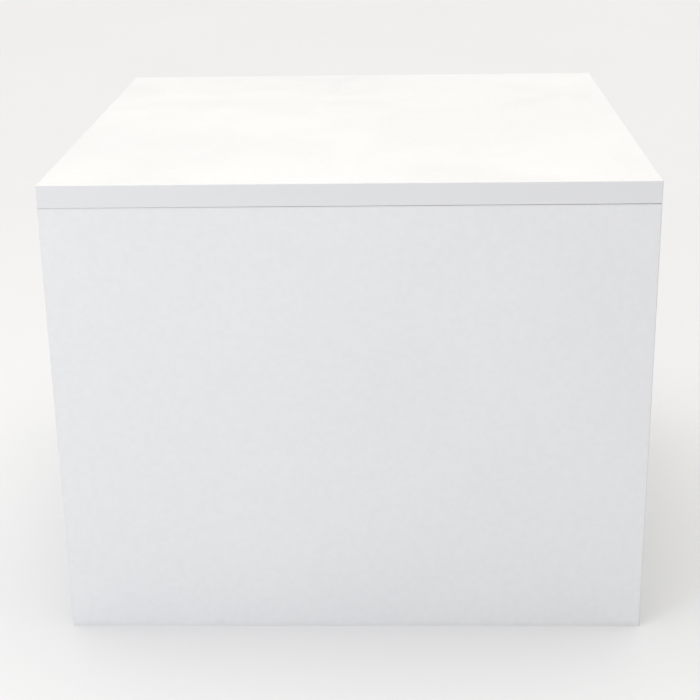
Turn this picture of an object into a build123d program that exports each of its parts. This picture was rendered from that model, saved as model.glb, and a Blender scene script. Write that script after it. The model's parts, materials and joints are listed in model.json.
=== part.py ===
from build123d import *
import os

# A square display plinth: a four-walled box of melamine-faced board with a lift-off lid.
# Millimetres. +Z is up, the front faces -Y, and the origin is on the floor, under the middle.

# Outside size and stock
WIDTH = 500.0
DEPTH = 500.0
HEIGHT = 400.0
BOARD = 19.0  # melamine-faced particleboard
BAND = 1.0  # ABS edge banding
STICK = 25.0  # square pine of the posts and bearers
BATTEN = 20.0  # square pine of the battens under the lid

# Arrises, trimmed after the banding is glued on
SOFT_ARRIS = 0.8  # edges that a hand meets
FINE_ARRIS = 0.3  # edges beside the joint under the lid
STICK_ARRIS = 1.5  # the long edges of planed pine
BAND_RELIEF = 0.2  # the lid's banding stops this short of the board's underside, so the board beds down

# Heights and distances that follow
RIM = HEIGHT - BOARD  # top of the box, where the lid's board rests
INNER_X = WIDTH / 2 - BOARD
INNER_Y = DEPTH / 2 - BOARD
BEARER_UNDERSIDE = 10.0  # clear of an uneven floor
BASE_TOP = BEARER_UNDERSIDE + STICK + BOARD
BASE_CLEARANCE = 0.5  # round the base panel, and at the ends of its bearers
POST_TOP = RIM - BATTEN - 10.0  # clear of the lid's battens
BATTEN_CLEARANCE = 1.5  # between the battens and the walls, so that the lid lifts off freely
BATTEN_X = INNER_X - BATTEN_CLEARANCE - BATTEN / 2  # middle line of the left and right battens
BATTEN_Y = INNER_Y - BATTEN_CLEARANCE - BATTEN / 2

# Fasteners
DOWEL_RADIUS = 4.0
DOWEL_LENGTH = 30.0
DOWEL_CHAMFER = 1.0
DOWEL_IN_FACE = 11.0  # how far a dowel goes into the front or back panel
SCREW_RADIUS = 2.0
HEAD_RADIUS = 4.0
HEAD_RIM = 0.25
HEAD_SINK = 0.3  # the head's top lies this far below the wood
TIP_LENGTH = 4.0
RECESS_SPAN = 3.6
RECESS_SLOT = 0.9
RECESS_DEPTH = 1.6
RECESS_TAPER = 8.0
LONG_SCREW = 35.0  # posts and bearers to the panels
SHORT_SCREW = 30.0  # base panel to the bearers, and battens to the lid
FIT = 0.05  # radial clearance of a dowel or screw in its hole
HOLE_SPARE = 0.5  # a blind hole is this much deeper than what goes in

# Where the fasteners go
DOWEL_HEIGHTS = (60.0, 190.0, 320.0)
POST_TO_SIDE_HEIGHTS = (125.0, 255.0)  # staggered with the other row, so that the screws don't cross
POST_TO_FACE_HEIGHTS = (95.0, 285.0)
BEARER_SCREWS_Y = (-180.0, 0.0, 180.0)
BASE_SCREWS_Y = (-120.0, 120.0)
BATTEN_SCREWS_ALONG = (-170.0, 0.0, 170.0)

SIDES = {"left": -1, "right": 1}
ENDS = {"front": -1, "back": 1}
CORNERS = [(end, side) for end in ENDS for side in SIDES]

os.makedirs("parts", exist_ok=True)


def save(builder, name):
    """Labels a finished piece and writes it to its own file."""
    builder.part.label = name
    export_step(builder.part, f"parts/{name}.step")


def wall_plane(dx, dy, distance):
    """The upright plane that faces along (dx, dy), that far from the middle, with its own Y upward."""
    return Plane(origin=(dx * distance, dy * distance, 0), x_dir=(-dy, dx, 0), z_dir=(dx, dy, 0))


def seats(points, towards):
    """Planes at the points for fasteners driven in along towards. Each faces the driver."""
    facing = tuple(-component for component in towards)
    return [Plane(origin=point, z_dir=facing) for point in points]


# ------------------------------------------------------------ places of the fasteners


def dowel_seats(side, end, towards):
    """The dowels of one corner, where the side panel's edge meets the front or back panel."""
    x = side * (WIDTH - BOARD) / 2
    return seats([(x, end * INNER_Y, z) for z in DOWEL_HEIGHTS], (0, towards, 0))


def post_seats_to_side(side, end):
    """Screws from a corner post into its side panel."""
    x = side * (INNER_X - STICK)
    y = end * (INNER_Y - STICK / 2)
    return seats([(x, y, z) for z in POST_TO_SIDE_HEIGHTS], (side, 0, 0))


def post_seats_to_face(side, end):
    """Screws from a corner post into the front or back panel."""
    x = side * (INNER_X - STICK / 2)
    y = end * (INNER_Y - STICK)
    return seats([(x, y, z) for z in POST_TO_FACE_HEIGHTS], (0, end, 0))


def bearer_seats(side):
    """Screws from a bearer into its side panel."""
    x = side * (INNER_X - STICK)
    z = BEARER_UNDERSIDE + STICK / 2
    return seats([(x, y, z) for y in BEARER_SCREWS_Y], (side, 0, 0))


def base_seats(side):
    """Screws from the base panel down into a bearer."""
    x = side * (INNER_X - STICK / 2)
    return seats([(x, y, BASE_TOP) for y in BASE_SCREWS_Y], (0, 0, -1))


def side_batten_seats(side):
    """Screws from the left or right batten up into the lid."""
    return seats([(side * BATTEN_X, y, RIM - BATTEN) for y in BATTEN_SCREWS_ALONG], (0, 0, 1))


def end_batten_seats(end):
    """Screws from the front or back batten up into the lid."""
    return seats([(x, end * BATTEN_Y, RIM - BATTEN) for x in BATTEN_SCREWS_ALONG], (0, 0, 1))


# ------------------------------------------------------------ cuts that repeat


def drill_dowel_holes(places, depth):
    with Locations(*places):
        Hole(DOWEL_RADIUS + FIT, depth=depth + HOLE_SPARE)


def drill_screw_holes(places, screw_length):
    """Holes in the piece that the screws bite into. The length is measured from where their heads go in."""
    with Locations(*places):
        Hole(SCREW_RADIUS + FIT, depth=screw_length + HOLE_SPARE)


def drill_countersinks(places):
    """Holes right through the piece that the screws hold, with room for their sunk heads."""
    with Locations(*places):
        CounterSinkHole(
            SCREW_RADIUS + FIT,
            HEAD_RADIUS + FIT + HEAD_SINK + HEAD_RIM,
            counter_sink_angle=90,
        )


# ------------------------------------------------------------ outlines that the banding is trimmed to


def trimmed_block(bottom, top, bottom_arris, top_arris):
    """The plinth's outside between two heights, with its corners and edges rounded over."""
    with BuildPart() as block:
        with BuildSketch(Plane.XY.offset(bottom)):
            Rectangle(WIDTH, DEPTH)
        extrude(amount=top - bottom)
        fillet(block.edges().filter_by(Axis.Z), SOFT_ARRIS)
        fillet(block.faces().sort_by(Axis.Z)[-1].edges(), top_arris)
        if bottom_arris:
            fillet(block.faces().sort_by(Axis.Z)[0].edges(), bottom_arris)
    return block.part


box_outside = trimmed_block(0, RIM, None, FINE_ARRIS)
lid_outside = trimmed_block(RIM + BAND_RELIEF, HEIGHT, FINE_ARRIS, SOFT_ARRIS)


# ------------------------------------------------------------ the box

# The front and back panels run the full width and cover the side panels' ends.
for end_name, end in ENDS.items():
    with BuildPart() as end_panel:
        with BuildSketch(wall_plane(0, end, INNER_Y)):
            Rectangle(WIDTH - 2 * BAND, RIM - BAND, align=(Align.CENTER, Align.MIN))
        extrude(amount=BOARD)
        for side in SIDES.values():
            drill_dowel_holes(dowel_seats(side, end, end), DOWEL_IN_FACE)
            drill_screw_holes(post_seats_to_face(side, end), LONG_SCREW)
    save(end_panel, f"{end_name}_panel")

    with BuildPart() as end_top_band:
        with BuildSketch(Plane.XY.offset(RIM - BAND)):
            with Locations((0, end * (DEPTH - BOARD) / 2)):
                Rectangle(WIDTH, BOARD)
        extrude(amount=BAND)
        add(box_outside, mode=Mode.INTERSECT)
    save(end_top_band, f"{end_name}_panel_top_band")

for end_name, side_name in CORNERS:
    end, side = ENDS[end_name], SIDES[side_name]
    with BuildPart() as upright_band:
        with BuildSketch():
            with Locations((side * (WIDTH - BAND) / 2, end * (DEPTH - BOARD) / 2)):
                Rectangle(BAND, BOARD)
        extrude(amount=RIM - BAND)
        add(box_outside, mode=Mode.INTERSECT)
    save(upright_band, f"{end_name}_panel_{side_name}_band")

for side_name, side in SIDES.items():
    with BuildPart() as side_panel:
        with BuildSketch(wall_plane(side, 0, INNER_X)):
            Rectangle(2 * INNER_Y, RIM - BAND, align=(Align.CENTER, Align.MIN))
        extrude(amount=BOARD)
        for end in ENDS.values():
            drill_dowel_holes(dowel_seats(side, end, -end), DOWEL_LENGTH - DOWEL_IN_FACE)
            drill_screw_holes(post_seats_to_side(side, end), LONG_SCREW)
        drill_screw_holes(bearer_seats(side), LONG_SCREW)
    save(side_panel, f"{side_name}_panel")

    with BuildPart() as side_top_band:
        with BuildSketch(Plane.XY.offset(RIM - BAND)):
            with Locations((side * (WIDTH - BOARD) / 2, 0)):
                Rectangle(BOARD, 2 * INNER_Y)
        extrude(amount=BAND)
        add(box_outside, mode=Mode.INTERSECT)
    save(side_top_band, f"{side_name}_panel_top_band")


# ------------------------------------------------------------ inside the box

for end_name, side_name in CORNERS:
    end, side = ENDS[end_name], SIDES[side_name]
    with BuildPart() as post:
        with BuildSketch(Plane.XY.offset(BASE_TOP)):
            with Locations((side * (INNER_X - STICK / 2), end * (INNER_Y - STICK / 2))):
                Rectangle(STICK, STICK)
        extrude(amount=POST_TOP - BASE_TOP)
        fillet(post.edges().filter_by(Axis.Z), STICK_ARRIS)
        drill_countersinks(post_seats_to_side(side, end))
        drill_countersinks(post_seats_to_face(side, end))
    save(post, f"{end_name}_{side_name}_corner_post")

for side_name, side in SIDES.items():
    with BuildPart() as bearer:
        with BuildSketch(Plane.XY.offset(BEARER_UNDERSIDE)):
            with Locations((side * (INNER_X - STICK / 2), 0)):
                Rectangle(STICK, 2 * (INNER_Y - BASE_CLEARANCE))
        extrude(amount=STICK)
        fillet(bearer.edges().filter_by(Axis.Y), STICK_ARRIS)
        drill_countersinks(bearer_seats(side))
        drill_screw_holes(base_seats(side), SHORT_SCREW)
    save(bearer, f"{side_name}_bearer")

with BuildPart() as base_panel:
    with BuildSketch(Plane.XY.offset(BASE_TOP - BOARD)):
        Rectangle(2 * (INNER_X - BASE_CLEARANCE), 2 * (INNER_Y - BASE_CLEARANCE))
    extrude(amount=BOARD)
    for side in SIDES.values():
        drill_countersinks(base_seats(side))
save(base_panel, "base_panel")


# ------------------------------------------------------------ the lid

with BuildPart() as lid_board:
    with BuildSketch(Plane.XY.offset(RIM)):
        Rectangle(WIDTH - 2 * BAND, DEPTH - 2 * BAND)
    extrude(amount=BOARD)
    for side in SIDES.values():
        drill_screw_holes(side_batten_seats(side), SHORT_SCREW)
    for end in ENDS.values():
        drill_screw_holes(end_batten_seats(end), SHORT_SCREW)
save(lid_board, "lid_board")

# The side strips go on first, and the front and back strips cover their ends.
for side_name, side in SIDES.items():
    with BuildPart() as lid_side_band:
        with BuildSketch(Plane.XY.offset(RIM)):
            with Locations((side * (WIDTH - BAND) / 2, 0)):
                Rectangle(BAND, DEPTH - 2 * BAND)
        extrude(amount=BOARD)
        add(lid_outside, mode=Mode.INTERSECT)
    save(lid_side_band, f"lid_{side_name}_band")

    with BuildPart() as side_batten:
        with BuildSketch(Plane.XY.offset(RIM - BATTEN)):
            with Locations((side * BATTEN_X, 0)):
                Rectangle(BATTEN, 2 * BATTEN_Y - BATTEN)
        extrude(amount=BATTEN)
        fillet(side_batten.edges().filter_by(Axis.Y), STICK_ARRIS)
        drill_countersinks(side_batten_seats(side))
    save(side_batten, f"lid_{side_name}_batten")

for end_name, end in ENDS.items():
    with BuildPart() as lid_end_band:
        with BuildSketch(Plane.XY.offset(RIM)):
            with Locations((0, end * (DEPTH - BAND) / 2)):
                Rectangle(WIDTH, BAND)
        extrude(amount=BOARD)
        add(lid_outside, mode=Mode.INTERSECT)
    save(lid_end_band, f"lid_{end_name}_band")

    with BuildPart() as end_batten:
        with BuildSketch(Plane.XY.offset(RIM - BATTEN)):
            with Locations((0, end * BATTEN_Y)):
                Rectangle(2 * BATTEN_X + BATTEN, BATTEN)
        extrude(amount=BATTEN)
        fillet(end_batten.edges().filter_by(Axis.X), STICK_ARRIS)
        drill_countersinks(end_batten_seats(end))
    save(end_batten, f"lid_{end_name}_batten")


# ------------------------------------------------------------ dowels and screws


def make_screw(length):
    """A countersunk screw that points down from the origin, with its head sunk and a cross recess."""
    head_top = -HEAD_SINK
    rim_bottom = head_top - HEAD_RIM
    neck = rim_bottom - (HEAD_RADIUS - SCREW_RADIUS)
    with BuildPart() as screw:
        with BuildSketch(Plane.XZ):
            with BuildLine():
                Polyline(
                    (0, head_top),
                    (HEAD_RADIUS, head_top),
                    (HEAD_RADIUS, rim_bottom),
                    (SCREW_RADIUS, neck),
                    (SCREW_RADIUS, TIP_LENGTH - length),
                    (0, -length),
                    close=True,
                )
            make_face()
        revolve(axis=Axis.Z)
        with BuildSketch(Plane.XY.offset(head_top)):
            Rectangle(RECESS_SPAN, RECESS_SLOT)
            Rectangle(RECESS_SLOT, RECESS_SPAN)
        extrude(amount=-RECESS_DEPTH, taper=RECESS_TAPER, mode=Mode.SUBTRACT)
    return screw.part


def save_group(fastener, places, name):
    """Writes identical fasteners as one node of separate solids."""
    with BuildPart() as group:
        with Locations(*places):
            add(fastener)
    save(group, name)


with BuildPart() as dowel:
    with BuildSketch(Plane.XY.offset(-DOWEL_IN_FACE)):
        Circle(DOWEL_RADIUS)
    extrude(amount=DOWEL_LENGTH)
    chamfer(dowel.edges().filter_by(GeomType.CIRCLE), DOWEL_CHAMFER)

long_screw = make_screw(LONG_SCREW)
short_screw = make_screw(SHORT_SCREW)

dowel_places = []
post_places = []
for side in SIDES.values():
    for end in ENDS.values():
        dowel_places += dowel_seats(side, end, end)
        post_places += post_seats_to_side(side, end) + post_seats_to_face(side, end)

save_group(dowel.part, dowel_places, "corner_dowels")
save_group(long_screw, post_places, "corner_post_screws")
save_group(long_screw, bearer_seats(-1) + bearer_seats(1), "bearer_screws")
save_group(short_screw, base_seats(-1) + base_seats(1), "base_panel_screws")
batten_places = side_batten_seats(-1) + side_batten_seats(1) + end_batten_seats(-1) + end_batten_seats(1)
save_group(short_screw, batten_places, "lid_batten_screws")
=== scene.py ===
"""The looks of a white display plinth of melamine-faced board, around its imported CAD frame.

Everything is in metres and in the CAD's own frame: +Z is up, and the front faces -Y.
"""

import json
import math

import bmesh
import bpy
from mathutils import Euler, Matrix, Vector


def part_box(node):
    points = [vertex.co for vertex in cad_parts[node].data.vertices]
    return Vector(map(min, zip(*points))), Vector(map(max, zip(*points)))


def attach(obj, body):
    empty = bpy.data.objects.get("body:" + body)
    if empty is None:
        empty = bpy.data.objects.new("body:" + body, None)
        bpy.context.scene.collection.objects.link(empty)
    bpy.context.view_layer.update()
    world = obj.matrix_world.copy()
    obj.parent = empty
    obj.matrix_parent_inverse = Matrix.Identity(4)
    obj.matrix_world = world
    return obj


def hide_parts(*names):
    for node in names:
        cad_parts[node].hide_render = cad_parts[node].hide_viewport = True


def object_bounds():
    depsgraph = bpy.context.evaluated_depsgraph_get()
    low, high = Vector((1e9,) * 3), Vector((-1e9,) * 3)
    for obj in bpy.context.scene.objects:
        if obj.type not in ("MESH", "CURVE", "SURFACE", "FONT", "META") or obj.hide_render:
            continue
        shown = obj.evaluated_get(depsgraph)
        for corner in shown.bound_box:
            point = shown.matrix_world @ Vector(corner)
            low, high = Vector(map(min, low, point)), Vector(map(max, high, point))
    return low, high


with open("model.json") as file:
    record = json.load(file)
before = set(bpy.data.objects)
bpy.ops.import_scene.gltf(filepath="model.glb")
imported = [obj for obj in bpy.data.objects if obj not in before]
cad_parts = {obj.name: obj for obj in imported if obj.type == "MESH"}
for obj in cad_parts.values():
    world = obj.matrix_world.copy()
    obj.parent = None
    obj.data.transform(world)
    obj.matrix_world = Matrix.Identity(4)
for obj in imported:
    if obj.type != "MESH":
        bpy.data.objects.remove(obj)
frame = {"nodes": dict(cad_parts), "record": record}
cad_box = [list(corner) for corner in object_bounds()]

MM = 0.001
FRONT_TO_BACK = 1  # the number of the Y axis
UP = 2  # and of Z
BOXES = {name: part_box(name) for name in frame["nodes"]}
SLOTS = {part["node"]: part["material_slot"] for part in frame["record"]["subparts"]}
BODIES = {node: body for body, nodes in frame["record"]["behaviour"]["bodies"].items() for node in nodes}
LOWEST, HIGHEST = (Vector(corner) for corner in cad_box)
RIM = BOXES["lid_board"][0].z  # the height of the joint under the lid
BOARD = HIGHEST.z - RIM  # the thickness of every board


def longest_axis(size):
    """The axis (0, 1 or 2) along which a size is greatest."""
    return max(range(3), key=lambda axis: abs(size[axis]))


def thinnest_axis(size):
    """The axis (0, 1 or 2) along which a size is smallest."""
    return min(range(3), key=lambda axis: abs(size[axis]))


# ------------------------------------------------------------ shader nodes

MOST = (0.3, 0.7)  # nearly all of a noise texture's values lie between these
MIDDLE = (0.35, 0.65)  # and most of them between these, which gives more contrast


class Shader:
    """A material with one Principled shader, and short ways to add nodes to it."""

    def __init__(self, name, **constants):
        self.material = bpy.data.materials.new(name)
        self.material.use_nodes = True
        self.tree = self.material.node_tree
        self.surface = self.tree.nodes["Principled BSDF"]
        for socket, value in constants.items():
            self.surface.inputs[socket.replace("_", " ")].default_value = value

    def add(self, kind, settings=None, **inputs):
        """Adds a node. Each input is a value, or another node's output to link."""
        node = self.tree.nodes.new("ShaderNode" + kind)
        for key, value in (settings or {}).items():
            setattr(node, key, value)
        for key, value in inputs.items():
            self.put(node.inputs[key.replace("_", " ")], value)
        return node

    def put(self, socket, value):
        """Links another node's output to the socket, or sets the socket's own value."""
        if isinstance(value, bpy.types.NodeSocket):
            self.tree.links.new(value, socket)
        else:
            socket.default_value = value

    def place(self, stretch=(1, 1, 1), shift=(0, 0, 0)):
        """Position in the CAD's frame, in metres, scaled by stretch and moved by shift."""
        position = self.add("TexCoord").outputs["Object"]
        return self.add("Mapping", Vector=position, Scale=stretch, Location=shift).outputs["Vector"]

    def part_along(self, vector, axis):
        """One coordinate of a vector."""
        return self.add("SeparateXYZ", Vector=vector).outputs["XYZ"[axis]]

    def noise(self, vector, scale, detail=3.0, distortion=0.0):
        """Soft noise of about that many lumps a metre."""
        node = self.add("TexNoise", Vector=vector, Scale=scale, Detail=detail, Distortion=distortion)
        return node.outputs["Fac"]

    def spread(self, value, source, target=(0.0, 1.0)):
        """Maps one range onto another, and clamps."""
        node = self.add("MapRange", Value=value)
        for socket, number in enumerate((*source, *target), start=1):
            node.inputs[socket].default_value = number
        return node.outputs["Result"]

    def math(self, operation, first, second=0.0):
        node = self.add("Math", {"operation": operation})
        self.put(node.inputs[0], first)
        self.put(node.inputs[1], second)
        return node.outputs["Value"]

    def mix(self, factor, first, second):
        """A blend of two colours. The node has sockets for each kind of data: 6, 7 and 2 are for colour."""
        node = self.add("Mix", {"data_type": "RGBA"})
        self.put(node.inputs[0], factor)
        self.put(node.inputs[6], first)
        self.put(node.inputs[7], second)
        return node.outputs[2]

    def colour(self, value):
        self.put(self.surface.inputs["Base Color"], value)

    def roughness(self, value):
        self.put(self.surface.inputs["Roughness"], value)

    def bump(self, height, strength, distance):
        node = self.add("Bump", Height=height, Strength=strength, Distance=distance)
        self.put(self.surface.inputs["Normal"], node.outputs["Normal"])


def along(axis, stretch, across=1.0):
    """A scale that is stretch along one axis (0, 1 or 2) and across on the other two."""
    return tuple(stretch if i == axis else across for i in range(3))


# ------------------------------------------------------------ materials

MELAMINE_WHITE = (0.803, 0.803, 0.803, 1)
MELAMINE_SHADE = (0.772, 0.774, 0.777, 1)
BAND_WHITE = (0.748, 0.748, 0.75, 1)
BAND_SHADE = (0.735, 0.737, 0.74, 1)
# the grey that the white is mixed towards just above the floor, darker towards the bottom
LOW_GREY = (0.55, 0.54, 0.52, 1)
CHIP_PALE = (0.62, 0.47, 0.29, 1)
CHIP_DARK = (0.30, 0.19, 0.10, 1)
PINE_PALE = (0.72, 0.52, 0.30, 1)
PINE_DARK = (0.50, 0.29, 0.12, 1)
PINE_KNOT = (0.20, 0.09, 0.035, 1)
BEECH_PALE = (0.60, 0.40, 0.24, 1)
BEECH_DARK = (0.42, 0.25, 0.13, 1)
ZINC_PALE = (0.74, 0.73, 0.68, 1)
ZINC_WARM = (0.62, 0.57, 0.44, 1)
FLOOR_PALE = (0.68, 0.685, 0.70, 1)
FLOOR_SHADE = (0.66, 0.665, 0.68, 1)

# how high above the floor, and how strongly, the white is greyed towards the bottom
LOW_BAND_HEIGHT = 9 * MM
LOW_BAND_STRENGTH = 0.16
PAPER = 0.15 * MM  # the thickness of the melamine paper, seen at a board's edge
FACE_ON = 0.7  # where a surface's normal is this far along the board's thickness, it is melamine
EDGE_DULL = 0.5  # how much rougher raw chipboard is than melamine
CHIP_HEIGHT = 4.5  # the height of the chips, where the melamine's pearl texture has about 1
FIBRE_STRETCH = 0.012  # along a pine stick, its pattern is scaled by these: longer than it is wide
RING_STRETCH = 0.06
KNOT_STRETCH = 0.55
KNOT_WANDER = 0.03  # how unevenly a knot is outlined


def greyed_towards_bottom(shader, position, white):
    """The white, greyed unevenly just above the floor, darker towards the bottom."""
    ragged = shader.noise(position, scale=45.0, detail=6.0)
    height = shader.part_along(position, UP)
    edge = shader.math("ADD", height, shader.math("MULTIPLY", ragged, LOW_BAND_HEIGHT))
    near_floor = shader.spread(edge, (LOW_BAND_HEIGHT * 0.45, LOW_BAND_HEIGHT * 1.1), (1.0, 0.0))
    return shader.mix(shader.math("MULTIPLY", near_floor, LOW_BAND_STRENGTH), white, LOW_GREY)


def melamine_surface(shader, position):
    """Colour, roughness and bump height of the boards' pearl-textured melamine skin."""
    cloud = shader.spread(shader.noise(position, scale=7.0, detail=5.0), MIDDLE, (0.0, 0.4))
    mottle = shader.spread(shader.noise(position, scale=190.0, detail=4.0), MIDDLE, (0.0, 0.6))
    white = shader.mix(shader.math("ADD", cloud, mottle), MELAMINE_WHITE, MELAMINE_SHADE)
    handled = shader.noise(position, scale=11.0, detail=6.0, distortion=1.2)
    fine = shader.math("MULTIPLY", shader.noise(position, scale=260.0), 0.3)
    gloss = shader.spread(shader.math("ADD", handled, fine), (0.4, 0.95), (0.36, 0.5))
    pearl = shader.add("TexVoronoi", {"feature": "SMOOTH_F1"}, Vector=position, Scale=620.0)
    ripple = shader.math("MULTIPLY", shader.noise(position, scale=1100.0, detail=2.0), 0.5)
    height = shader.math("ADD", pearl.outputs["Distance"], ripple)
    return greyed_towards_bottom(shader, position, white), gloss, height


def chipboard_surface(shader, position, depth):
    """Colour and height of a board's raw edge: coarse chips in the core, fine dust near the faces.
    depth is 0 at the board's middle and 1 at its faces."""
    coarse = shader.add("TexVoronoi", Vector=position, Scale=330.0)
    fine = shader.add("TexVoronoi", Vector=position, Scale=1300.0)
    core = shader.spread(depth, (0.45, 0.7), (1.0, 0.0))
    chips = shader.mix(core, fine.outputs["Color"], coarse.outputs["Color"])
    grey = shader.add("RGBToBW", Color=chips).outputs["Val"]
    return shader.mix(shader.spread(grey, (0.15, 0.85)), CHIP_DARK, CHIP_PALE), grey


def melamine_board(name, axis, middle):
    """White melamine on a board's two faces, raw chipboard round its edges.
    axis is the one across the board's thickness, and middle is the board's middle on it."""
    shader = Shader(name, Specular_IOR_Level=0.45)
    position = shader.place()
    white, gloss, pearl = melamine_surface(shader, position)
    across = shader.math("SUBTRACT", shader.part_along(position, axis), middle)
    depth = shader.math("DIVIDE", shader.math("ABSOLUTE", across), BOARD / 2)
    raw, chips = chipboard_surface(shader, position, depth)
    normal = shader.part_along(shader.add("TexCoord").outputs["Normal"], axis)
    faces = shader.math("GREATER_THAN", shader.math("ABSOLUTE", normal), FACE_ON)
    paper = shader.math("GREATER_THAN", depth, 1 - PAPER / (BOARD / 2))
    skin = shader.math("MAXIMUM", faces, paper)
    edge = shader.math("SUBTRACT", 1.0, skin)
    shader.colour(shader.mix(skin, raw, white))
    shader.roughness(shader.math("ADD", gloss, shader.math("MULTIPLY", edge, EDGE_DULL)))
    chip_relief = shader.math("MULTIPLY", chips, shader.math("MULTIPLY", edge, CHIP_HEIGHT))
    shader.bump(shader.math("ADD", pearl, chip_relief), strength=0.3, distance=0.12 * MM)
    return shader.material


def edge_band(name, length_axis):
    """White ABS edging, extruded along one axis, scraped flush and a shade darker than the board."""
    shader = Shader(name, Specular_IOR_Level=0.5)
    position = shader.place()
    lines = shader.noise(shader.place(along(length_axis, 0.02)), scale=2600.0, detail=3.0)
    mottle = shader.noise(position, scale=16.0, detail=4.0)
    tone = shader.math("MULTIPLY", shader.spread(lines, MOST), shader.spread(mottle, MOST))
    shader.colour(greyed_towards_bottom(shader, position, shader.mix(tone, BAND_WHITE, BAND_SHADE)))
    shader.roughness(shader.spread(mottle, MOST, (0.38, 0.5)))
    peel = shader.noise(position, scale=800.0, detail=2.0)
    height = shader.math("ADD", shader.math("MULTIPLY", lines, 0.7), peel)
    shader.bump(height, strength=0.14, distance=0.1 * MM)
    return shader.material


def pine(name, length_axis, shift):
    """Planed softwood: rings about a far-off pith, long fibres and the odd small knot."""
    shader = Shader(name, Specular_IOR_Level=0.35)
    slow = shader.place(along(length_axis, RING_STRETCH), shift)
    wander = shader.noise(slow, scale=14.0, detail=3.0)
    rings = shader.add(
        "TexWave",
        {"wave_type": "RINGS", "rings_direction": "XYZ"[length_axis], "wave_profile": "SAW"},
        Vector=slow,
        Scale=95.0,
        Distortion=2.6,
        Detail=3.0,
        Detail_Scale=1.4,
    ).outputs["Fac"]
    late = shader.math("POWER", rings, 3.0)
    fibre = shader.noise(shader.place(along(length_axis, FIBRE_STRETCH), shift), scale=1500.0, detail=4.0)
    streaks = shader.math("MULTIPLY", shader.spread(fibre, (0.4, 0.7)), 0.35)
    wood = shader.mix(streaks, shader.mix(late, PINE_PALE, PINE_DARK), PINE_DARK)
    cells = shader.add("TexVoronoi", Vector=shader.place(along(length_axis, KNOT_STRETCH), shift), Scale=9.0)
    reach = shader.math("ADD", cells.outputs["Distance"], shader.math("MULTIPLY", wander, KNOT_WANDER))
    knot = shader.spread(reach, (0.045, 0.07), (1.0, 0.0))
    shader.colour(shader.mix(knot, wood, PINE_KNOT))
    shader.roughness(shader.spread(fibre, MOST, (0.55, 0.75)))
    height = shader.math("ADD", fibre, shader.math("MULTIPLY", late, 0.15))
    shader.bump(height, strength=0.3, distance=0.1 * MM)
    return shader.material


def beech():
    """Turned beech of the dowels: fine, even and flecked. The dowels lie front to back."""
    shader = Shader("beech", Specular_IOR_Level=0.35)
    flecks = shader.noise(shader.place(along(FRONT_TO_BACK, 0.08)), scale=2200.0, detail=2.0)
    shader.colour(shader.mix(shader.spread(flecks, (0.45, 0.65)), BEECH_PALE, BEECH_DARK))
    shader.roughness(shader.spread(flecks, MOST, (0.55, 0.7)))
    shader.bump(flecks, strength=0.25, distance=0.1 * MM)
    return shader.material


def zinc():
    """Zinc-plated steel with a faint yellow passivation."""
    shader = Shader("zinc_plate", Metallic=1.0)
    position = shader.place()
    bloom = shader.noise(position, scale=420.0, detail=3.0)
    shader.colour(shader.mix(shader.spread(bloom, MIDDLE), ZINC_PALE, ZINC_WARM))
    shader.roughness(shader.spread(shader.noise(position, scale=900.0), MOST, (0.26, 0.42)))
    shader.bump(shader.noise(position, scale=3000.0), strength=0.1, distance=0.05 * MM)
    return shader.material


def studio_floor():
    """A plain pale floor with a very faint unevenness."""
    shader = Shader("studio_floor", Specular_IOR_Level=0.2)
    position = shader.place()
    shader.colour(shader.mix(shader.noise(position, scale=2.0, detail=4.0), FLOOR_PALE, FLOOR_SHADE))
    shader.roughness(shader.spread(shader.noise(position, scale=30.0), MOST, (0.6, 0.75)))
    shader.bump(shader.noise(position, scale=600.0), strength=0.05, distance=0.2 * MM)
    return shader.material


# ------------------------------------------------------------ pieces that the CAD shows well enough

FIRST_STICK = Vector((0, 0.02, 0))  # where in the wood the first stick is cut
STICK_SHIFT = Vector((0.037, 0.053, 0.29))  # and how far from one stick to the next


def nodes_with(slot):
    """The nodes of one finish, by name."""
    return sorted(node for node in SLOTS if SLOTS[node] == slot)


def size_of(node):
    low, high = BOXES[node]
    return high - low


def paint(node, material):
    for slot in frame["nodes"][node].material_slots:
        slot.material = material


def paint_boards():
    for node in nodes_with("white_melamine_board"):
        axis = thinnest_axis(size_of(node))
        low, high = BOXES[node]
        paint(node, melamine_board(f"melamine_{node}", axis, (low[axis] + high[axis]) / 2))


def paint_pine():
    """Each stick is cut from its own place in the wood."""
    for number, node in enumerate(nodes_with("pine_batten")):
        shift = FIRST_STICK + STICK_SHIFT * number
        paint(node, pine(f"pine_{node}", longest_axis(size_of(node)), shift))


# ------------------------------------------------------------ meshes


def link(name, mesh, material):
    """An object of that mesh, in the scene, with that material."""
    mesh.materials.append(material)
    piece = bpy.data.objects.new(name, mesh)
    bpy.context.scene.collection.objects.link(piece)
    return piece


def stand_for(piece, node):
    """The piece replaces the CAD node and moves with its body."""
    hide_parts(node)
    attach(piece, BODIES[node])


# ------------------------------------------------------------ edge banding

ARRIS = 0.8 * MM  # trimmed edges that a hand meets
FINE_ARRIS = 0.3 * MM  # trimmed edges beside the joint under the lid
JOINT_EASE = 0.12 * MM  # scraped edges where a band meets its board
ROUND_STEPS = 5
NEAR = 0.02 * MM  # points this close to a face lie on it
JOINT_HEIGHT = 1.0 * MM  # an edge this near the rim lies beside the joint
TRIM_LEFT = -0.1 * MM  # the lid's front strip was trimmed by hand: its lower edge is this low on the left
TRIM_RIGHT = 0.28 * MM  # and this high on the right, so the joint there is wider


def on_outside(point, axis):
    """Whether a point lies on the plinth's outside, on the faces across that axis."""
    if axis == UP:
        return point.z > HIGHEST.z - NEAR
    return abs(abs(point[axis]) - HIGHEST[axis]) < NEAR


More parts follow.
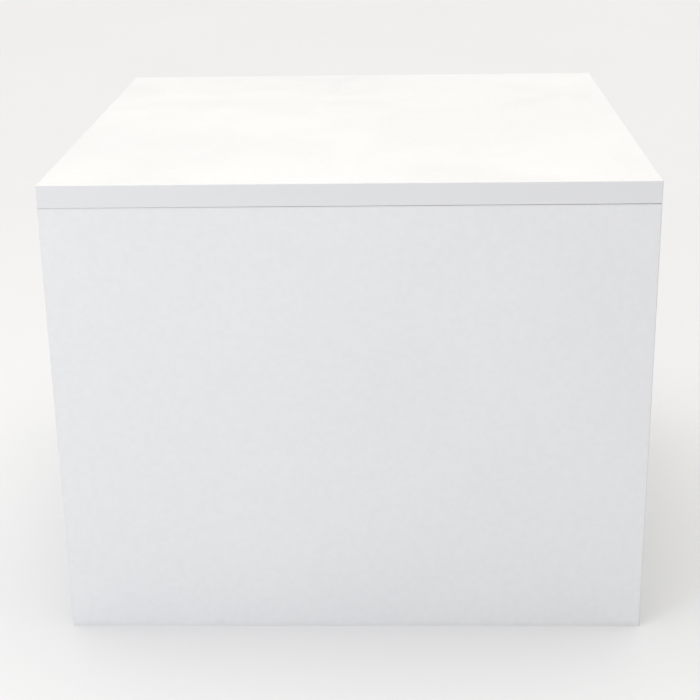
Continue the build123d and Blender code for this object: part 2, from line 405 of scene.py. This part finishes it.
def band_arris(edge):
    """How far one edge of a band is rounded: by what it lies between."""
    first, last = (vertex.co for vertex in edge.verts)
    middle = (first + last) / 2
    run = longest_axis(last - first)
    outside = [on_outside(middle, axis) for axis in range(3) if axis != run]
    if all(outside):
        return ARRIS
    if any(outside) and run != UP and abs(middle.z - RIM) < JOINT_HEIGHT:
        return FINE_ARRIS
    return JOINT_EASE


def trim_by_hand(shape, low):
    """Tilts a strip's lower edge a little, end to end."""
    for vertex in shape.verts:
        if vertex.co.z < low.z + NEAR:
            vertex.co.z += TRIM_RIGHT if vertex.co.x > 0 else TRIM_LEFT


def band_mesh(node):
    """A strip of edging in its CAD box, with its edges weighted by how far each is rounded."""
    low, high = BOXES[node]
    shape = bmesh.new()
    bmesh.ops.create_cube(shape, size=1.0)
    bmesh.ops.scale(shape, vec=high - low, verts=shape.verts)
    bmesh.ops.translate(shape, vec=(high + low) / 2, verts=shape.verts)
    weights = shape.edges.layers.float.new("bevel_weight_edge")
    for edge in shape.edges:
        edge[weights] = band_arris(edge) / ARRIS
    if node == "lid_front_band":
        trim_by_hand(shape, low)
    mesh = bpy.data.meshes.new(node)
    shape.to_mesh(mesh)
    shape.free()
    mesh.shade_smooth()
    return mesh


def make_bands():
    materials = [edge_band(f"edge_band_{letter}", axis) for axis, letter in enumerate("xyz")]
    for node in nodes_with("white_edge_band"):
        band = link(f"{node}_trimmed", band_mesh(node), materials[longest_axis(size_of(node))])
        bevel = band.modifiers.new("trimmed_edges", "BEVEL")
        bevel.limit_method = "WEIGHT"
        bevel.width = ARRIS
        bevel.segments = ROUND_STEPS
        bevel.harden_normals = True
        stand_for(band, node)


# ------------------------------------------------------------ screws and dowels

SCREW_COLUMNS = 24  # points round a screw
HEAD_EASE = 0.08 * MM
HEAD_RIM = 0.25 * MM
RECESS_DEPTH = 1.6 * MM
RECESS_WALL = 0.8  # the recess has walls to this much of its depth, and a cone below
RECESS_REACH = 1.8 * MM  # from the middle to the end of each arm
RECESS_HALF = RECESS_REACH * math.tan(math.tau / SCREW_COLUMNS)  # half an arm's width, from point to point
RECESS_FLOOR = 0.6  # the recess narrows to this much of its size
CORE_SHARE = 0.62  # core radius by thread radius
THREAD_PITCH = 2.0 * MM
THREAD_HALF = 0.4 * MM  # half the thread's thickness at its root
THREAD_STEPS = 16  # a turn
THREAD_ROOT = 0.9  # the thread starts inside the core, at this much of its radius
TIP_LENGTH = 4.0 * MM
TURN_APART = math.radians(137.5)  # each screw was stopped at its own turn
CREASE = math.radians(35)

FLUTES = 20
FLUTE_DEPTH = 0.35 * MM
DOWEL_CHAMFER = 1.0 * MM

SAME_POINT = 0.002 * MM  # vertices this close are one
TINY = 1e-6  # keeps a division away from zero


def corners_of(points):
    """The lowest and highest corners of the box round some points."""
    low, high = (Vector([pick(point[i] for point in points) for i in range(3)]) for pick in (min, max))
    return low, high


def solids_of(node):
    """The separate solids of a CAD node, each as the places of its vertices, in the order of their places."""
    shape = bmesh.new()
    shape.from_mesh(frame["nodes"][node].data)
    bmesh.ops.remove_doubles(shape, verts=shape.verts, dist=SAME_POINT)
    waiting = set(shape.verts)
    solids = []
    while waiting:
        reached = [waiting.pop()]
        for vertex in reached:
            beside = {edge.other_vert(vertex) for edge in vertex.link_edges} & waiting
            waiting -= beside
            reached.extend(beside)
        solids.append([vertex.co.copy() for vertex in reached])
    shape.free()
    return sorted(solids, key=lambda points: [round(low, 5) for low in corners_of(points)[0]])


class Seat:
    """Where a fastener sits: Z comes out of its wider end, from that end's middle."""

    def __init__(self, points):
        low, high = corners_of(points)
        middle = (low + high) / 2
        size = high - low
        axis = longest_axis(size)
        self.length = size[axis]
        self.radius = min(size) / 2
        along_axis = Vector(along(axis, 1.0, across=0.0))

        def width(end):
            rim = [point for point in points if abs(point[axis] - end[axis]) < NEAR]
            return max((point - middle).cross(along_axis).length for point in rim)

        out = along_axis if width(high) >= width(low) else -along_axis
        turn = out.to_track_quat("Z", "Y").to_matrix().to_4x4()
        self.place = Matrix.Translation(middle + out * self.length / 2) @ turn

    def turned(self, number):
        """The place, turned about its own axis by that fastener's own angle."""
        return self.place @ Matrix.Rotation(number * TURN_APART, 4, "Z")


def cylinder_point(radius, angle, depth):
    """A point round the Z axis, that far below zero."""
    return Vector((radius * math.cos(angle), radius * math.sin(angle), -depth))


def ring(depth, radius, columns):
    """Points evenly round the Z axis. radius is a number, or a function of the angle."""
    angles = [math.tau * column / columns for column in range(columns)]
    return [cylinder_point(radius(angle) if callable(radius) else radius, angle, depth) for angle in angles]


def skin(shape, rows, place):
    """A closed skin over rows of points, whose first and last rows are single points.
    Beside a single point the faces are triangles, so the corner that comes up twice is dropped."""
    rows = [[shape.verts.new(place @ point) for point in row] for row in rows]
    for upper, lower in zip(rows, rows[1:]):
        columns = max(len(upper), len(lower))
        for column in range(columns):
            beside = (column + 1) % columns
            corners = (
                upper[column % len(upper)],
                lower[column % len(lower)],
                lower[beside % len(lower)],
                upper[beside % len(upper)],
            )
            shape.faces.new(dict.fromkeys(corners))


def cross_recess(angle):
    """The outline of the driver's recess: the radius at an angle."""
    across = max(abs(math.cos(angle)), TINY)
    up = max(abs(math.sin(angle)), TINY)
    arm_across = min(RECESS_REACH / across, RECESS_HALF / up)
    arm_up = min(RECESS_HALF / across, RECESS_REACH / up)
    return max(arm_across, arm_up)


def screw_body(length, head, core):
    """The recess, the countersunk head and the core, down to the point."""
    columns = SCREW_COLUMNS
    return [
        [Vector((0, 0, -RECESS_DEPTH))],
        ring(RECESS_DEPTH * RECESS_WALL, lambda angle: cross_recess(angle) * RECESS_FLOOR, columns),
        ring(0, cross_recess, columns),
        ring(0, head - HEAD_EASE, columns),
        ring(HEAD_EASE, head, columns),
        ring(HEAD_RIM, head, columns),
        ring(HEAD_RIM + head - core, core, columns),
        ring(length - TIP_LENGTH, core, columns),
        [Vector((0, 0, -length))],
    ]


def screw_thread(start, length, core, crest):
    """The thread: a three-sided ridge that winds round the core and fades out at both ends."""
    steps = int((length - start) / THREAD_PITCH * THREAD_STEPS)
    rows = []
    for step in range(1, steps):
        angle = math.tau * step / THREAD_STEPS
        depth = start + THREAD_PITCH * step / THREAD_STEPS
        narrowing = min(1.0, (length - depth) / TIP_LENGTH)
        fade = narrowing * min(1.0, step / THREAD_STEPS)
        root = core * narrowing * THREAD_ROOT
        top = core * narrowing + (crest - core) * fade
        half = THREAD_HALF * fade
        ridge = ((root, depth - half), (top, depth), (root, depth + half))
        rows.append([cylinder_point(reach, angle, level) for reach, level in ridge])
    first, last = (sum(row, Vector()) / len(row) for row in (rows[0], rows[-1]))
    return [[first], *rows[1:-1], [last]]


def add_screw(shape, seat, number):
    """A countersunk chipboard screw with a cross recess. Its thread is half as wide as its head."""
    crest = seat.radius / 2
    core = crest * CORE_SHARE
    place = seat.turned(number)
    skin(shape, screw_body(seat.length, seat.radius, core), place)
    skin(shape, screw_thread(HEAD_RIM + seat.radius - core, seat.length, core, crest), place)


def add_dowel(shape, seat, number):
    """A beech dowel with pressed flutes that let the glue out."""
    columns = 3 * FLUTES
    narrow = seat.radius - DOWEL_CHAMFER

    def fluted(angle):
        return seat.radius - FLUTE_DEPTH * max(0.0, math.cos(FLUTES * angle))

    rows = [
        [Vector((0, 0, 0))],
        ring(0, narrow, columns),
        ring(DOWEL_CHAMFER, fluted, columns),
        ring(seat.length - DOWEL_CHAMFER, fluted, columns),
        ring(seat.length, narrow, columns),
        [Vector((0, 0, -seat.length))],
    ]
    skin(shape, rows, seat.turned(number))


def make_fasteners(slot, add_one, material, ending):
    """One piece for each CAD group, with a detailed fastener in each place."""
    for node in nodes_with(slot):
        shape = bmesh.new()
        for number, points in enumerate(solids_of(node)):
            add_one(shape, Seat(points), number)
        bmesh.ops.recalc_face_normals(shape, faces=shape.faces)
        mesh = bpy.data.meshes.new(node)
        shape.to_mesh(mesh)
        shape.free()
        mesh.shade_smooth()
        mesh.set_sharp_from_angle(angle=CREASE)
        stand_for(link(f"{node}_{ending}", mesh, material), node)


# ------------------------------------------------------------ camera, light and floor

CAMERA_PLACE = (0.0421, -1.4355, 0.6884)
CAMERA_TURN = (70.10, 0.89, 1.71)  # degrees about X, Y and Z: looks down 20 degrees and a little left
CAMERA_LENS = 78.6  # mm
CAMERA_SENSOR = 36.0  # mm

WORLD_COLOUR = (0.922, 0.94, 1.0)
WORLD_STRENGTH = 0.46
CEILING_COLOUR = (1.0, 0.965, 0.88)
CEILING_STRENGTH = 2.83
CEILING_PLACE = (-0.3, -0.1, 3.0)  # a sun, so only its direction counts
CEILING_ANGLE = math.radians(75)
SOFTBOX_COLOUR = (0.90, 0.93, 1.0)
SOFTBOX_WATTS = 18.0
SOFTBOX_PLACE = (-1.7, -1.9, 0.8)
SOFTBOX_SIZE = 1.0
FLOOR_SIZE = 60.0  # its edge is far away in every view


def add_camera():
    data = bpy.data.cameras.new("camera")
    data.lens = CAMERA_LENS
    data.sensor_width = CAMERA_SENSOR
    camera = bpy.data.objects.new("camera", data)
    camera.location = CAMERA_PLACE
    camera.rotation_euler = Euler([math.radians(angle) for angle in CAMERA_TURN])
    bpy.context.scene.collection.objects.link(camera)
    bpy.context.scene.camera = camera


def add_lamp(kind, name, place, target, strength, colour, **shape):
    """A lamp at place that faces target. shape is its size, or its angle if it is a sun."""
    data = bpy.data.lights.new(name, kind)
    data.energy = strength
    data.color = colour
    for key, value in shape.items():
        setattr(data, key, value)
    lamp = bpy.data.objects.new(name, data)
    lamp.location = place
    lamp.rotation_euler = (Vector(target) - Vector(place)).to_track_quat("-Z", "Y").to_euler()
    bpy.context.scene.collection.objects.link(lamp)


def light_studio():
    """White all round, a broad soft light from above, and a softbox to the left of the camera."""
    world = bpy.data.worlds.new("studio")
    world.use_nodes = True
    background = world.node_tree.nodes["Background"]
    background.inputs["Color"].default_value = (*WORLD_COLOUR, 1)
    background.inputs["Strength"].default_value = WORLD_STRENGTH
    bpy.context.scene.world = world
    ceiling = (CEILING_PLACE, LOWEST, CEILING_STRENGTH, CEILING_COLOUR)
    add_lamp("SUN", "ceiling", *ceiling, angle=CEILING_ANGLE)
    middle = (0, 0, HIGHEST.z / 2)
    softbox = (SOFTBOX_PLACE, middle, SOFTBOX_WATTS, SOFTBOX_COLOUR)
    add_lamp("AREA", "softbox", *softbox, size=SOFTBOX_SIZE)


def lay_floor():
    bpy.ops.mesh.primitive_plane_add(size=FLOOR_SIZE, location=(0, 0, LOWEST.z))
    floor = bpy.context.object
    floor.name = "studio_floor"
    floor.data.materials.append(studio_floor())


# ------------------------------------------------------------ the plinth

scene = bpy.context.scene
scene.view_settings.view_transform = "Standard"

paint_boards()
paint_pine()
make_bands()
make_fasteners("zinc_screw", add_screw, zinc(), "threaded")
make_fasteners("beech_dowel", add_dowel, beech(), "fluted")
add_camera()
light_studio()
lay_floor()
